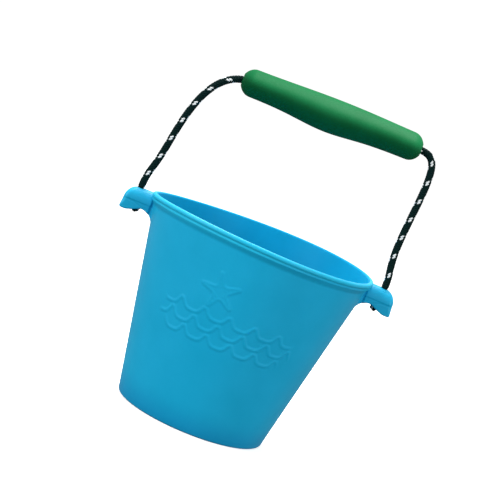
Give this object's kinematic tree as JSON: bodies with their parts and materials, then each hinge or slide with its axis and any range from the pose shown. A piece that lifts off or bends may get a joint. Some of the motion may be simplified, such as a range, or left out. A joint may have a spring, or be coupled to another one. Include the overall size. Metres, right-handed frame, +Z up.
{
  "type": "sand bucket",
  "caption": "Round tapered soft bucket with a rolled rim and two hollow side lugs, carried by a knotted braided cord handle with a loose plastic grip.",
  "frame": {"origin": "centre of the flat underside", "axes": "+Z up through the bucket's axis, X through both lugs with the longer cord leg on -X, front towards -Y"},
  "size_m": [0.214, 0.175, 0.2591],
  "materials": {
    "bucket_silicone": "satin",
    "cord_braid": "woven",
    "grip_plastic": "satin"
  },
  "bodies": {
    "bucket": {"bucket_body": "bucket_silicone", "cord_end_left": "cord_braid", "cord_end_right": "cord_braid"},
    "handle": {"cord_bend_left": "cord_braid", "cord_bend_right": "cord_braid", "cord_loop": "cord_braid"},
    "grip": {"grip": "grip_plastic"}
  },
  "joints": [
    {"name": "handle_swing", "type": "hinge", "parent": "bucket", "child": "handle", "pos_m": [0, 0, 0.153], "axis": [1, 0, 0], "range_deg": [-87, 87], "deforming": ["cord_bend_left", "cord_bend_right"]},
    {"name": "grip_spin", "type": "hinge", "parent": "handle", "child": "grip", "pos_m": [0.0117, 0, 0.2468], "axis": [0.9999, 0, 0.014], "continuous": true}
  ]
}
